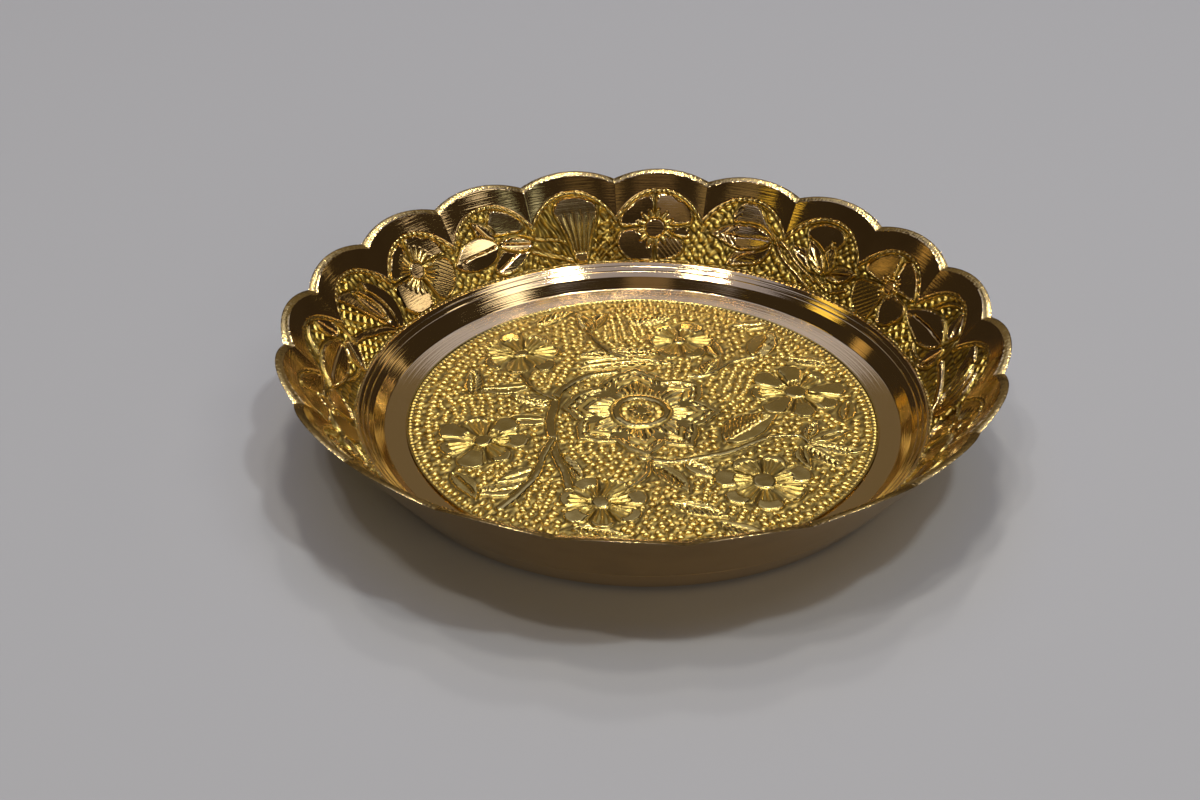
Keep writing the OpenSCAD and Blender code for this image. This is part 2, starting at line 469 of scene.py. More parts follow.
class Tree:
    """A geometry node tree with named inputs, built a node at a time."""

    def __init__(self, name, **inputs):
        self.group = bpy.data.node_groups.new(name, "GeometryNodeTree")
        face = self.group.interface
        face.new_socket("Geometry", in_out="INPUT", socket_type="NodeSocketGeometry")
        for label, value in inputs.items():
            kind = "NodeSocketInt" if isinstance(value, int) else "NodeSocketFloat"
            face.new_socket(label, in_out="INPUT", socket_type=kind).default_value = value
        face.new_socket("Geometry", in_out="OUTPUT", socket_type="NodeSocketGeometry")
        self.source = self.group.nodes.new("NodeGroupInput")

    def add(self, kind, slots=(), output=0, **settings):
        return add_node(self.group, kind, slots, output, **settings)

    def input(self, label):
        return Wire(self.group, self.source.outputs[label])

    def attribute(self, name):
        return self.add("GeometryNodeInputNamedAttribute", {"Name": name}, "Attribute",
                        data_type="FLOAT")

    def vector(self, x, y, z):
        return self.add("ShaderNodeCombineXYZ", {"X": x, "Y": y, "Z": z})

    def finish(self, geometry, material):
        """Real mesh out of any instances, smooth, with its material."""
        real = self.add("GeometryNodeRealizeInstances", {"Geometry": geometry})
        smooth = self.add("GeometryNodeSetShadeSmooth", {"Geometry": real})
        done = self.add("GeometryNodeSetMaterial", {"Geometry": smooth, "Material": material})
        plug(self.group, self.group.nodes.new("NodeGroupOutput"), {"Geometry": done})


def put(name, data):
    """Puts a mesh, a lamp or a camera into the scene."""
    holder = bpy.data.objects.new(name, data)
    bpy.context.scene.collection.objects.link(holder)
    return holder


def grow(name, mesh, tree, **values):
    """Runs a node tree on a mesh and keeps the plain mesh that comes out."""
    seed = put(name + "_seed", mesh)
    modifier = seed.modifiers.new("tree", "NODES")
    modifier.node_group = tree.group
    for item in tree.group.interface.items_tree:
        if item.in_out == "INPUT" and item.name in values:
            modifier[item.identifier] = values[item.name]
    ready = seed.evaluated_get(bpy.context.evaluated_depsgraph_get())
    plain = bpy.data.meshes.new_from_object(ready)
    plain.name = name
    bpy.data.objects.remove(seed)
    return put(name, plain)


def brass(name, bright, shine, dull=None, matt=None, tarnish=0.25, scratch=0.15, grain=900.0,
          rings=0.0):
    """Brass with bright heights and dull hollows, clouds of tarnish, dirt and painted shade in
    the deepest cuts, fine scratches and the lathe's rings. shine and matt are roughnesses. A
    piece without a polish attribute counts as dull."""
    material = bpy.data.materials.new(name)
    material.use_nodes = True
    tree = material.node_tree

    def noise(place, scale, detail):
        slots = {"Vector": place, "Scale": scale, "Detail": detail}
        return add_node(tree, "ShaderNodeTexNoise", slots, "Fac")

    def attribute(label):
        return add_node(tree, "ShaderNodeAttribute", output="Fac", attribute_name=label)

    def ramp(value, low, high, start, end):
        slots = {"Value": value, "From Min": low, "From Max": high, "To Min": start, "To Max": end}
        return add_node(tree, "ShaderNodeMapRange", slots, "Result")

    def mixed(share, first, second):
        slots = {"Factor": share, "A": first, "B": second}
        return add_node(tree, "ShaderNodeMix", slots, "Result", data_type="RGBA")

    def bumps(strength, height, **more):
        slots = {"Strength": strength, "Distance": 0.05 * MM, "Height": height, **more}
        return add_node(tree, "ShaderNodeBump", slots, "Normal")

    place = add_node(tree, "ShaderNodeTexCoord", output="Object")
    polish = attribute("polish")
    fine = noise(place, grain, 4.0)

    clouds = ramp(noise(place, 160.0, 5.0), 0.45, 0.75, 0.0, tarnish)
    # dirt and painted shade: the deepest cuts of the relief are darkened to a near-black brown,
    # partly real dirt, partly painted shade in the hollows
    dirt_and_painted_shade = ramp(attribute("relief"), -0.28, -0.42, 0.0, 0.75)
    colour = mixed(polish, (*(dull or bright), 1), (*bright, 1))
    colour = mixed(clouds, colour, (0.22, 0.13, 0.05, 1))
    colour = mixed(dirt_and_painted_shade, colour, (0.10, 0.065, 0.02, 1))
    roughness = fine.of("MULTIPLY_ADD", 0.05, ramp(polish, 0.0, 1.0, matt or shine, shine))

    # the rings run round the dish's axis: one noise over radius and height
    flat = add_node(tree, "ShaderNodeVectorMath", {0: place, 1: (1, 1, 0)}, operation="MULTIPLY")
    radius = add_node(tree, "ShaderNodeVectorMath", {0: flat}, "Value", operation="LENGTH")
    height = add_node(tree, "ShaderNodeSeparateXYZ", {0: place}, "Z")
    section = add_node(tree, "ShaderNodeCombineXYZ", {"X": radius, "Y": height})
    normal = bumps(rings, noise(section, 5000.0, 3.0), Normal=bumps(scratch, fine))
    plug(tree, tree.nodes["Principled BSDF"], {"Metallic": 1.0, "Base Color": colour,
                                               "Roughness": roughness, "Normal": normal})
    return material


def bend_wall_tree(material):
    """Bends a sector into the wall: an outer cone, fluted inside, cut off in lobes."""
    tree = Tree("lobed wall", Lobes=lobes, Radius=dish_r, Height=dish_h, Slope=wall_slope,
                Thickness=wall_t, Thinned=rim_thinned, Drop=lobe_drop, Flute=flute_depth,
                Tilt=rim_tilt, Lip=lip_h, Skirt=skirt_h, Gap=seat_gap)
    turn, rise, across = (tree.attribute(n) for n in ("turn", "rise", "across"))
    relief, seat_r, seat_z = (tree.attribute(n) for n in ("relief", "seat_r", "seat_z"))
    radius, height, slope = (tree.input(n) for n in ("Radius", "Height", "Slope"))
    skirt, fall = tree.input("Skirt"), tree.input("Drop")
    lean = slope.of("TANGENT")
    steep = slope.of("SINE")
    width = tree.input("Thickness") / steep
    step = tree.input("Lobes") / (2 * math.pi)
    share = ((turn * step + 0.5).of("FRACT") - 0.5).of("ABSOLUTE") * 2

    # a lobe's edge is an arc over its chord, and the rim slopes from it down to the inner face
    chord = ((step * 2) ** -1.0).of("SINE") * radius
    arc = (chord ** 2 + fall ** 2) / (fall * 2)
    tip = height - (arc - (arc ** 2 - (share * chord) ** 2).of("SQRT"))
    ridge = tree.input("Flute") / steep * share ** 2.4 - tree.input("Thinned")
    tilt = tree.input("Tilt").of("TANGENT")
    edge = tip - (width + ridge) * tilt / ((tilt / lean) * -1 + 1)

    # across is 0 on the inner face and 1 on the outer one
    foot = tree.input("Lip") + tree.input("Gap")
    inner_z = foot + (edge - foot) * rise
    outer_z = skirt + (tip - skirt) * rise
    edge_r = radius - height / lean
    inner_r = edge_r + inner_z / lean - width - ridge * rise
    outer_r = edge_r + outer_z / lean

    # relief stands square to the inner face, and upright on the rim
    raised = relief * (across * -1 + 1)
    r = inner_r + (outer_r - inner_r) * across - raised * steep
    z = inner_z + (outer_z - inner_z) * across + raised * slope.of("COSINE")
    z = z + relief * across

    # the last two rows close the wall's foot beside the pan's lip
    seated = seat_r.of("GREATER_THAN", 0.5)
    r = (r + (seat_r - r) * seated) * MM
    z = (z + (seat_z - z) * seated) * MM
    point = tree.vector(r * turn.of("COSINE"), r * turn.of("SINE"), z)
    bent = tree.add("GeometryNodeSetPosition", {"Geometry": tree.input("Geometry"),
                                                "Position": point})
    tree.finish(bent, material)
    return tree


cast_brass = brass("cast_brass", (0.70, 0.50, 0.24), 0.06, dull=(0.60, 0.42, 0.09), matt=0.28,
                   rings=0.3)
wall_tree = bend_wall_tree(cast_brass)
for sector in range(lobes // lobes_a_piece):
    wall = grow(f"lobed_wall_{sector + 1}", wall_sector(sector * lobes_a_piece), wall_tree)
    wall.data.set_sharp_from_angle(angle=math.radians(38))
    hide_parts("scalloped_wall")
    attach(wall, "root")

# The turned pan.
# Cast brass, faced and polished on a lathe: a slightly dished border round the disc, a dark
# cove and a bright bevel under the wall. The tool has left fine rings all over it.
bevel_w = 1.9
bevel_h = 1.5
cove_w = 1.35
cove_h = 1.65
border_w = 3.05
border_dish = 0.27
foot_w = 2.2
tool_marks = 0.012
ring_pitch = 0.16
turned_columns = 360
floor_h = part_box("engraved_disc")[1].z / MM
braze_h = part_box("disc_braze")[0].z / MM
foot_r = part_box("foot_ring")[1].x / MM
groove_top_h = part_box("foot_braze")[1].z / MM
pan_r = dish_r - (dish_h - pan_h) / math.tan(wall_slope)
bevel_r = inner_lip_r - bevel_w
border_r = bevel_r - cove_w


def along_line(points, step):
    """The points of a line with more points put in between, about a step apart."""
    out = [points[0]]
    for a, b in zip(points[:-1], points[1:]):
        count = max(1, round(math.dist(a, b) / step))
        out += [tuple(np.array(a) + (np.array(b) - np.array(a)) * k / count)
                for k in range(1, count + 1)]
    return out


def turned_tree(material):
    """Sweeps a section, given as a row of vertices, round the dish's axis, with tool marks."""
    tree = Tree("turned on a lathe", Columns=turned_columns, Rows=2, Pitch=ring_pitch, Seed=0.0)
    rows, columns = tree.input("Rows"), tree.input("Columns")
    grid = tree.add("GeometryNodeMeshGrid", {"Vertices X": columns + 1, "Vertices Y": rows})
    number = tree.add("GeometryNodeInputIndex")
    column = (number / rows).of("FLOOR")
    row = number - column * rows

    def sampled(value, kind):
        slots = {"Geometry": tree.input("Geometry"), "Index": row, "Value": value}
        return tree.add("GeometryNodeSampleIndex", slots, "Value", data_type=kind)

    spot = sampled(tree.add("GeometryNodeInputPosition"), "FLOAT_VECTOR")
    marks = sampled(tree.attribute("marks"), "FLOAT")
    r, z = (tree.add("ShaderNodeSeparateXYZ", {"Vector": spot}, label) for label in "XZ")
    phase = (r + z * 0.6) / (tree.input("Pitch") * MM) + tree.input("Seed")
    tune = tree.add("ShaderNodeTexNoise", {"W": phase, "Detail": 2.0, "Scale": 1.0},
                    noise_dimensions="1D")
    turn = column / columns * (2 * math.pi)
    point = tree.vector(r * turn.of("COSINE"), r * turn.of("SINE"), z + (tune - 0.5) * marks * MM)
    swept = tree.add("GeometryNodeSetPosition", {"Geometry": grid, "Position": point})
    closed = tree.add("GeometryNodeMergeByDistance", {"Geometry": swept, "Distance": 1e-6})
    tree.finish(closed, material)
    return tree


def turn_piece(name, points, marks):
    """A piece turned from a section in mm, with the depth of the tool's marks at each point."""
    mesh = bpy.data.meshes.new(name + "_section")
    mesh.from_pydata([(r * MM, 0, z * MM) for r, z in points[::-1]], [], [])
    store(mesh, marks=marks[::-1])
    piece = grow(name, mesh, turned, Rows=len(points))
    piece.data.set_sharp_from_angle(angle=math.radians(35))
    return piece


def pan_section():
    """The pan's outline from the middle of the recess over the lip to the underside's middle,
    and how deep the tool's marks are at each point."""
    recess_r = border_r - border_w
    groove_out = foot_r + seat_gap
    groove_in = foot_r - foot_w - seat_gap
    border_in = (recess_r + 0.06, floor_h - border_dish)
    border_out = (border_r - 0.13, floor_h + 0.15)
    cove_foot = (border_out[0] + 0.1, border_out[1] + 0.04)
    bevel = [(bevel_r + (inner_lip_r - bevel_r) * share, floor_h + cove_h + bevel_h * share - cut)
             for share, cut in ((0, 0), (0.36, 0), (0.4, 0.05), (0.44, 0), (0.71, 0),
                                (0.75, 0.04), (0.79, 0), (1, 0))]
    low_side = (pan_r + 0.15, pan_h + 0.2)
    low_corner = (pan_r + 0.02, pan_h + 0.06)
    low_edge = (pan_r - 0.12, pan_h)

    # each stretch, how close its points are, and how deep its marks
    stretches = [
        ([(0, braze_h), (recess_r, braze_h)], 8, 0),
        ([(recess_r, braze_h), (recess_r, border_in[1] - 0.06), border_in], 0.3, 0),
        ([border_in, border_out], 0.05, tool_marks),
        ([border_out, cove_foot, (bevel_r, floor_h + cove_h)], 0.06, 0.01),
        (bevel, 0.05, tool_marks),
        ([(inner_lip_r, lip_h), (lip_r, lip_h), (lip_r, ledge_h), (ledge_r, ledge_h)], 0.5, 0),
        ([(ledge_r, ledge_h), low_side], 0.15, tool_marks),
        ([low_side, low_corner, low_edge], 0.15, 0),
        ([low_edge, (groove_out, pan_h)], 0.1, 0.02),
        ([(groove_out, pan_h), (groove_out, groove_top_h), (groove_in, groove_top_h),
          (groove_in, pan_h)], 0.6, 0),
        ([(groove_in, pan_h), (0, pan_h)], 0.5, 0.03),
    ]
    points, marks = [], []
    for line, step, depth in stretches:
        dense = along_line(line, step)
        start = 1 if points else 0
        points += dense[start:]
        marks += [depth] * (len(dense) - start)
    return points, marks


turned_brass = brass("turned_brass", (0.74, 0.54, 0.28), 0.05, tarnish=0.03, scratch=0.05,
                     grain=500, rings=0.3)
turned = turned_tree(turned_brass)
pan = turn_piece("turned_pan", *pan_section())
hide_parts("base_pan")
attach(pan, "root")

# The foot ring.
# Turned brass, let into the pan's underside and brazed there. Its bottom edge is rounded by
# wear on the table.
spelter_t = 0.1
foot_round = 0.25
foot_in = foot_r - foot_w
foot_top_h = groove_top_h - spelter_t
foot_section = [
    (foot_in, foot_top_h), (foot_in, foot_round), (foot_in + 0.06, 0.08),
    (foot_in + foot_round, 0.0), (foot_r - foot_round, 0.0),
    (foot_r - 0.06, 0.08), (foot_r, foot_round), (foot_r, foot_top_h), (foot_in, foot_top_h),
]
foot_points = along_line(foot_section, 0.2)
foot = turn_piece("turned_foot", foot_points, [0.0] * len(foot_points))
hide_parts("foot_ring")
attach(foot, "root")

# The chased disc.
# A brass disc let into the pan's recess. Its middle has a star in rings and a wreath of
# seven lotus petals, with flowers, leaves and vines round it, all flat tops left standing
# over a punched ground.
disc_t = 0.8
disc_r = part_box("engraved_disc")[1].x / MM
disc_floor = -0.3
chase_turn = math.radians(2.8)
grid_size = 540
middle = (-0.3, 1.0)
star_r = 1.95
star_beads_r = 2.55
star_ring_r = 3.6
wreath_r = 10.8

# Where the wreath's tips point, in degrees, with one more at each end
petal_tips = [-182, -140, -85, -50, 0, 40, 95, 178, 220]

# The way and the width of each vine
vines = [
    ([(-4.0, 11.8), (-8.4, 10.2), (-11.6, 6.6), (-12.9, 1.5), (-13.0, -4.0), (-12.2, -9.0),
      (-10.6, -14.0), (-9.6, -18.6)], 1.2),
    ([(-12.9, -7.0), (-13.9, -13.0), (-15.4, -18.0), (-18.4, -23.0)], 1.1),
    ([(0.0, -10.8), (4.0, -11.6), (9.0, -10.2), (14.0, -7.6), (17.6, -5.2)], 1.0),
    ([(-2.4, 15.4), (-5.6, 17.6), (-7.6, 20.8), (-8.8, 24.0)], 0.6),
    ([(6.5, 10.2), (9.4, 11.0), (13.0, 14.6), (17.0, 16.6)], 0.6),
    ([(-12.6, 3.5), (-15.8, 6.5), (-18.0, 10.5)], 0.6),
    ([(17.6, -5.2), (21.5, -4.6), (23.0, -6.5)], 0.6),
    ([(1.0, -11.6), (0.4, -15.0), (-2.0, -18.0)], 0.6),
]

# The foot of each leaf, its direction in degrees, length, width and bend
leaves = [
    ((-8.6, 23.6), 62, 6.0, 2.6, 0.08), ((-8.4, 22.8), 112, 6.4, 2.4, -0.08),
    ((-9.6, 15.6), 6, 12.6, 2.6, 0.05), ((-9.0, 13.6), 2, 13.5, 2.4, 0.06),
    ((-10.0, 11.6), 10, 12.0, 2.0, 0.1), ((16.6, 16.4), 66, 8.0, 4.2, 0.06),
    ((11.6, 16.0), 110, 6.5, 2.6, 0.05), ((8.5, 10.8), 62, 6.0, 2.6, 0.04),
    ((22.6, -6.0), 66, 5.6, 2.0, 0.05), ((22.8, -6.6), 28, 7.5, 2.2, 0.03),
    ((22.6, -7.0), -12, 8.0, 2.2, -0.03), ((22.4, -7.2), -48, 7.6, 2.2, -0.05),
    ((22.0, -7.4), -82, 5.6, 2.0, -0.05), ((11.2, -6.6), 44, 11.0, 5.4, 0.04),
    ((-12.8, 2.4), 160, 7.0, 2.6, 0.05), ((-13.2, -2.2), 184, 7.5, 2.6, -0.05),
    ((1.4, -12.4), -52, 8.0, 3.4, 0.05), ((-15.2, -17.6), 196, 8.0, 2.8, 0.06),
    ((-13.6, -13.6), 214, 7.0, 2.6, -0.04), ((-12.0, -10.4), -58, 7.5, 2.6, 0.05),
    ((6.0, -11.6), -36, 6.5, 2.6, -0.05), ((-16.0, 7.0), 186, 8.5, 2.6, 0.06),
    ((4.0, -21.5), -20, 8.0, 2.8, 0.05), ((-24.5, 4.5), 100, 7.5, 2.6, -0.05),
    ((28.8, -0.5), 84, 5.5, 2.2, 0.0), ((-2.4, 26.0), 20, 7.5, 2.4, -0.05),
    ((-16.5, 25.0), 36, 7.0, 2.4, 0.05), ((13.6, 25.0), 20, 7.5, 2.4, -0.05),
    ((-9.0, -27.5), -10, 8.0, 2.4, 0.04), ((10.0, -25.5), -26, 8.0, 2.6, 0.0),
    ((-25.5, -15.0), -60, 7.5, 2.6, 0.05), ((21.4, 15.8), -14, 7.0, 2.4, 0.05),
]

# The middle of each flower, its radius, petals, heart's radius, turn in degrees, and how much
# of a petal its flat takes up
flowers = [
    ((-18.3, 16.3), 5.9, 7, 0.9, 10, 0.2), ((22.2, 6.8), 6.8, 8, 1.6, 8, 0.62),
    ((16.4, -16.0), 6.4, 7, 1.5, 20, 0.3), ((-22.2, -7.2), 6.4, 7, 1.2, 0, 0.5),
    ((-5.2, -21.4), 5.8, 7, 1.2, 15, 0.3), ((5.4, 20.8), 5.2, 6, 0.9, 5, 0.3),
]


def daisy(c, centre, radius, petals, heart, turn, flat):
    """A flower of many fine rays, with an uneven flat left near the tip of every petal."""
    reach, angle = round_about(c.x, c.y, centre, turn)
    place = angle * petals / (2 * np.pi)
    off = to_nearest(place)
    uneven = np.sin(np.round(place) * 2.4 + turn)
    outline = radius * (1 - 0.28 * np.abs(2 * off) ** 2.4 + 0.06 * uneven)
    side = reach * np.sin(2 * np.pi / petals * (0.5 - np.abs(off)))
    ray = wave(angle * petals * 4 + 1.6 * np.sin(3 * angle + turn)) ** 3
    flat_r = radius * (0.98 - flat * (0.75 + 0.4 * uneven))
    tip = soft_step(reach - flat_r + 2.5 * off ** 2, 0.3) * soft_step(0.36 - np.abs(off), 0.08)
    height = -0.05 - 0.2 * (1 - ray) * (1 - tip) - 0.22 * groove(side, 0.2)
    c.lay(outline - reach, height, polish=0.1 + 0.7 * tip, moat=0.25)
    c.boss(centre, heart, top=-0.03)


def lotus(c):
    """The wreath of seven lotus petals round the star, and the star in its rings."""
    reach, angle = round_about(c.x, c.y, middle)
    off = to_nearest(np.interp(angle, np.radians(petal_tips), np.arange(len(petal_tips))))
    outline = wreath_r - 1.9 * np.abs(2 * off) ** 1.6 + 0.6 * groove(off, 0.08)
    inward = outline - reach
    within = soft_step(reach * np.sin(0.9 * (0.5 - np.abs(off))) - 0.35, 0.25)
    band = soft_step(1.0 - inward, 0.2)
    teeth = soft_step(0.28 - np.abs(inward - 1.45), 0.15) * wave(44 * angle)
    bar = soft_step(0.45 - np.abs(inward - 2.7), 0.2) * soft_step(0.3 - np.abs(off), 0.06)
    ribs = wave(40 * angle) * soft_step(inward - 3.7, 0.2)
    rough = np.maximum(np.maximum(0.7 * teeth, bar), 0.85 * ribs) * within
    height = disc_floor + 0.02 + 0.23 * np.maximum(band, rough)
    c.lay(np.minimum(inward, reach - star_ring_r - 0.8), height, polish=0.7 - 0.6 * rough)
    c.lay(star_ring_r + 0.8 - reach, -0.14, polish=0.0, moat=0.2)
    c.lay(star_ring_r + 0.55 - reach, -0.03 - 0.08 * np.abs(reach - star_ring_r), moat=0.01)
    c.lay(star_ring_r - 0.5 - reach, disc_floor, polish=0.0, moat=0.01)
    beads = -0.24 + 0.2 * wave(15 * angle)
    c.lay(0.4 - np.abs(reach - star_beads_r), beads, polish=0.1, moat=0.01)
    c.lay(star_r * (0.74 + 0.26 * np.cos(8 * angle)) - reach, -0.03, moat=0.01)


def carve_disc(x, y):
    """The disc's heights in mm below its border, their polish and what the motifs cover."""
    turned_x = x * math.cos(chase_turn) + y * math.sin(chase_turn)
    turned_y = y * math.cos(chase_turn) - x * math.sin(chase_turn)
    x = turned_x + 0.2 * wobble(turned_x, turned_y, 7, 8) + 0.07 * wobble(turned_x, turned_y, 5, 1.5)
    y = turned_y + 0.2 * wobble(turned_x, turned_y, 8, 8) + 0.07 * wobble(turned_x, turned_y, 6, 1.5)
    c = Carving(x, y, disc_floor + 0.05 + 0.06 * wobble(x, y, 9, 1.1), disc_floor)
    for number, (foot, turn, length, width, bend) in enumerate(leaves):
        slant = 0.02 * math.sin(number * 2.4)
        c.leaf(foot, turn, length, width, bend, left=slant, right=-slant)
        along, across = local(x, y, foot, turn)
        near = (np.abs(across) < width * 0.6) & (along > 0.8) & (along < length * 0.85)
        vein = groove(to_nearest((along - 1.2 * np.abs(across)) / 0.9) * 0.9, 0.16)
        if number % 3:
            c.height = c.height - 0.16 * vein * near * c.polish * (np.sin(number) * across > -0.2)
    c.polish = c.polish * 0.7
    for path, width in vines:
        c.stem(path, width, top=-0.04)
    for flower in flowers:
        daisy(c, *flower)
    lotus(c)
    c.height = c.height + 0.006 * wobble(turned_x, turned_y, 10, 2.2) * (2 - c.polish)

    # a plain edge, and the row of notches cut inside it
    reach, angle = round_about(turned_x, turned_y, (0, 0))
    inward = disc_r - reach
    c.lay(0.22 - np.abs(inward - 0.52), disc_floor + 0.12 * wave(260 * angle), polish=0.2, moat=0.1)
    c.lay(0.3 - inward, -0.02, moat=0.01)
    return c.height, c.polish, c.covered


def square_to_disc(a, b):
    """Equal squares on a square from -1 to 1 onto equal patches of a disc of radius 1."""
    wide = np.abs(a) >= np.abs(b)
    long_side = np.where(wide, a, b)
    short_side = np.where(wide, b, a)
    angle = np.pi / 4 * short_side / np.where(long_side == 0, 1, long_side)
    x = long_side * np.where(wide, np.cos(angle), np.sin(angle))
    y = long_side * np.where(wide, np.sin(angle), np.cos(angle))
    return x, y


def disc_quarter(name, a_from, b_from):
    """A quarter of the disc as a closed slab: carved top, plain side and underside."""
    count = grid_size // 2
    a, b = np.meshgrid(np.linspace(a_from, a_from + 1, count + 1),
                       np.linspace(b_from, b_from + 1, count + 1), indexing="ij")
    x, y = square_to_disc(a, b)
    x, y = x * disc_r, y * disc_r
    height, polish, _ = carve_disc(x, y)
    top = np.stack([x, y, floor_h + height], -1).reshape(-1, 3)
    index = np.arange((count + 1) ** 2).reshape(count + 1, count + 1)
    quads = np.stack([index[:-1, :-1], index[1:, :-1], index[1:, 1:], index[:-1, 1:]],
                     -1).reshape(-1, 4)
    ring = np.concatenate([index[:-1, 0], index[-1, :-1], index[:0:-1, -1], index[0, :0:-1]])
    low = len(top) + np.arange(len(ring))
    under = top[ring].copy()
    under[:, 2] = floor_h - disc_t
    sides = np.stack([ring, low, np.roll(low, -1), np.roll(ring, -1)], -1)
    faces = [*quads.tolist(), *sides.tolist(), low[::-1]]
    mesh = bpy.data.meshes.new(name)
    mesh.from_pydata(np.concatenate([top, under]) * MM, [], faces, shade_flat=False)
    plain = np.zeros(len(under))
    # the relief kept for the material is the height made deeper on dull places, so that the dirt and
    # painted shade of the deepest cuts spreads further over the punched ground
    store(mesh, relief=np.append(height * (1.5 - 0.5 * polish), plain),
          polish=np.append(polish, plain))
    mesh.set_sharp_from_angle(angle=math.radians(50))
    return mesh


chased_brass = brass("chased_brass", (0.62, 0.46, 0.15), 0.1, dull=(0.76, 0.54, 0.13), matt=0.32,
                     tarnish=0.2)
for number, corner in enumerate([(-1, -1), (0, -1), (0, 0), (-1, 0)], 1):
    mesh = disc_quarter(f"chased_disc_{number}", *corner)
    mesh.materials.append(chased_brass)
    piece = put(mesh.name, mesh)
    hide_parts("engraved_disc")
    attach(piece, "root")

# The grains of the disc's ground.
# A hollow punch has left them standing like grains of rice. They lie in bent rows between
# the motifs, uneven in size, and point outward near the edge.
grain_long = 1.3
grain_wide = 1.0
grain_tall = 0.28
grain_seed = 11
row_sway = 2.6
row_bend = 4.8
edge_grains = 176


def grain_points():
    """Places and turns for grains in bent rows, without those that a motif covers."""
    rng = np.random.default_rng(grain_seed)
    x, y = np.meshgrid(np.arange(-40, 40, grain_long), np.arange(-40, 40, grain_wide))
    x = x + grain_long / 2 * (np.arange(len(y)) % 2)[:, None]
    bent_x = x + row_sway * np.sin(y / row_bend + 1.0) + rng.normal(0, 0.13, x.shape)
    bent_y = y + row_sway * np.sin(x / row_bend + 0.4) + rng.normal(0, 0.1, x.shape)
    along_row = np.arctan(row_sway / row_bend * np.cos(x / row_bend + 0.4))
    spin = along_row + rng.normal(0, 0.15, x.shape)
    inner = np.hypot(bent_x, bent_y) < disc_r - 3.9
    stretch = np.ones(inner.sum())

    # two rows of longer grains that point outward, along the edge
    rows, count = np.meshgrid([disc_r - 1.5, disc_r - 3.15], np.arange(edge_grains))
    turn = (count + 0.5 * (rows > disc_r - 2)) * 2 * np.pi / edge_grains
    grain_x = np.append(bent_x[inner], rows * np.cos(turn) + rng.normal(0, 0.09, rows.shape))
    grain_y = np.append(bent_y[inner], rows * np.sin(turn) + rng.normal(0, 0.09, rows.shape))
    spin = np.append(spin[inner], turn + 0.25 + rng.normal(0, 0.15, rows.shape))
    stretch = np.append(stretch, rng.uniform(1.0, 1.35, rows.size))
    _, _, covered = carve_disc(grain_x, grain_y)
    free = covered < 0.35
    return grain_x[free], grain_y[free], spin[free], stretch[free]


def grain_tree(material):
    """A long low dome on every point, turned with its row and sized a little differently."""
    tree = Tree("punched grains", Long=grain_long, Wide=grain_wide, Tall=grain_tall, Seed=3)
    dome = tree.add("GeometryNodeMeshUVSphere", {"Segments": 8, "Rings": 4, "Radius": 0.5 * MM})
    swell = tree.add("FunctionNodeRandomValue",
                     {"Min": 0.75, "Max": 1.1, "Seed": tree.input("Seed")}, "Value",
                     data_type="FLOAT")
    spin = tree.vector(0.0, 0.0, tree.attribute("spin"))
    scale = tree.vector(swell * tree.input("Long") * tree.attribute("stretch"),
                        swell * tree.input("Wide"), swell * tree.input("Tall") * 2)
    domes = tree.add("GeometryNodeInstanceOnPoints",
                     {"Points": tree.input("Geometry"), "Instance": dome, "Rotation": spin,
                      "Scale": scale})
    tree.finish(domes, material)
    return tree


grain_x, grain_y, grain_spin, grain_stretch = grain_points()
seeds = bpy.data.meshes.new("grain_points")
seeds.from_pydata([(x * MM, y * MM, (floor_h + disc_floor + 0.04) * MM)
                   for x, y in zip(grain_x, grain_y)], [], [])
store(seeds, spin=grain_spin, stretch=grain_stretch)
grain_brass = brass("grain_brass", (0.80, 0.58, 0.16), 0.28, tarnish=0.2)
grains = grow("disc_grains", seeds, grain_tree(grain_brass))
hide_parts("engraved_disc")
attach(grains, "root")

# The brazed joints.
# Brass spelter, paler than the castings, run in between the pieces and filed flush where it
# shows.
spelter = brass("spelter", (0.74, 0.62, 0.36), 0.35)
for name in ("wall_braze", "disc_braze", "foot_braze"):
    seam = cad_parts[name]
    seam.data.materials.clear()
    seam.data.materials.append(spelter)

# The studio.
# A plain pale floor, and the camera where the photograph was taken. Soft lamps overhead and
# all round stand for the room that the polished brass mirrors: ceiling lights behind, windows
# on the right and warm lamps on the left.
floor_grey = 0.5
world_colour = (0.038, 0.028, 0.018)
camera_turn = math.radians(2.8)
camera_far = 205.2
camera_up = 132.6
camera_roll = math.radians(0.89)
aim_down = math.radians(32.87)
image_w = 1200.0
focal_px = 1723.0
shift_px = (43.0, -13.4)
sensor_w = 36.0

bpy.ops.mesh.primitive_plane_add(size=6)
floor = bpy.context.object
floor.name = "studio_floor"
floor_paint = bpy.data.materials.new("studio_floor")
floor_paint.use_nodes = True
plug(floor_paint.node_tree, floor_paint.node_tree.nodes["Principled BSDF"],
     {"Base Color": (floor_grey, floor_grey, floor_grey, 1), "Roughness": 0.9,
      "Specular IOR Level": 0.1})
floor.data.materials.append(floor_paint)


def lamp(name, azimuth, elevation, size, radiance, colour, distance=1.2):
    """A square soft lamp that faces the dish. azimuth is counted from the camera's right, and
    radiance is the lamp's own brightness. Angles are in degrees, lengths in metres."""
    light = bpy.data.lights.new(name, "AREA")
    light.shape = "SQUARE"
    light.size = size
    light.energy = radiance * math.pi * size * size
    light.color = colour
    holder = put(name, light)
    a, e = math.radians(azimuth) + camera_turn, math.radians(elevation)
    holder.location = (distance * math.cos(a) * math.cos(e),
                       distance * math.sin(a) * math.cos(e), distance * math.sin(e))
    holder.rotation_euler = (math.pi / 2 - e, 0, a + math.pi / 2)


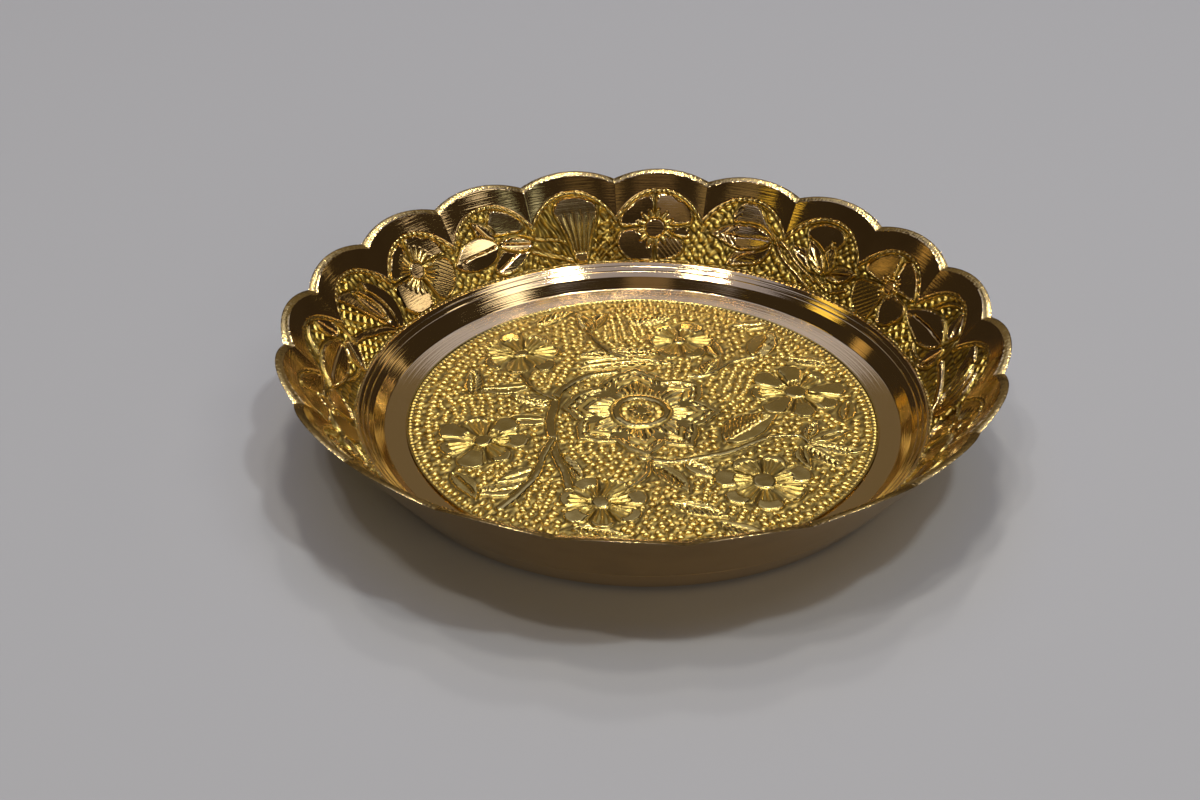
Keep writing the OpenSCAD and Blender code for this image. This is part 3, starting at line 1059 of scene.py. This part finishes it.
lamp("ceiling", 90, 84, 1.3, 0.65, (0.54, 0.59, 0.97))
lamp("top_spot", 80, 84, 0.1, 52.0, (1.0, 0.96, 0.86))
lamp("back_spot_right", 82, 60, 0.08, 50.0, (1.0, 0.96, 0.87))
lamp("back_spot_left", 98, 72, 0.08, 45.0, (1.0, 0.96, 0.87))
lamp("cool_spot", -28, 69, 0.08, 120.0, (0.93, 0.98, 1.0))
lamp("left_spot_front", -132, 72, 0.06, 70.0, (1.0, 0.96, 0.84))
lamp("left_spot", -146, 69, 0.06, 90.0, (1.0, 0.96, 0.9))
lamp("camera_side", -92, 61, 0.28, 0.16, (1.0, 0.74, 0.5))
lamp("brown_left", -129, 46, 0.24, 0.22, (1.0, 0.8, 0.5))
lamp("brown_right", -64, 47, 0.2, 0.2, (1.0, 0.76, 0.45))
lamp("gold_cusp", -142, 44, 0.13, 1.2, (1.0, 0.74, 0.12))
lamp("gold_left", 162, 50, 0.2, 1.6, (1.0, 0.75, 0.15), 1.3)
lamp("gold_left_low", 154, 31, 0.16, 0.6, (1.0, 0.68, 0.25), 1.3)
lamp("warm_right", 44, 25, 0.2, 0.8, (1.0, 0.82, 0.5), 1.3)
lamp("window_right", -8, 56, 0.35, 2.6, (1.0, 0.98, 0.96))
lamp("window_low", 0, 30, 0.18, 1.8, (1.0, 0.93, 0.88))
lamp("window_far", -37, 45, 0.1, 0.9, (0.85, 1.0, 0.97))
lamp("front_low", -65, 17, 0.9, 1.6, (1.0, 0.92, 0.8), 1.5)
lamp("back_sky", 90, 50, 0.55, 0.75, (0.52, 0.6, 1.0), 1.3)
lamp("back_glow", 90, 30, 0.9, 0.13, (1.0, 0.85, 0.6), 1.5)

world = bpy.data.worlds.new("studio")
world.use_nodes = True
plug(world.node_tree, world.node_tree.nodes["Background"], {"Color": (*world_colour, 1)})
bpy.context.scene.world = world

camera_data = bpy.data.cameras.new("camera")
camera_data.sensor_width = sensor_w
camera_data.lens = focal_px * sensor_w / image_w
camera_data.shift_x = -shift_px[0] / image_w
camera_data.shift_y = -shift_px[1] / image_w
camera_data.clip_start = 0.01
camera = put("camera", camera_data)
camera.matrix_world = (Matrix.Rotation(camera_turn, 4, "Z")
                       @ Matrix.Translation((0, -camera_far * MM, (camera_up + floor_h) * MM))
                       @ Matrix.Rotation(math.pi / 2 - aim_down, 4, "X")
                       @ Matrix.Rotation(camera_roll, 4, "Z"))
bpy.context.scene.camera = camera
bpy.context.scene.view_settings.view_transform = "Standard"
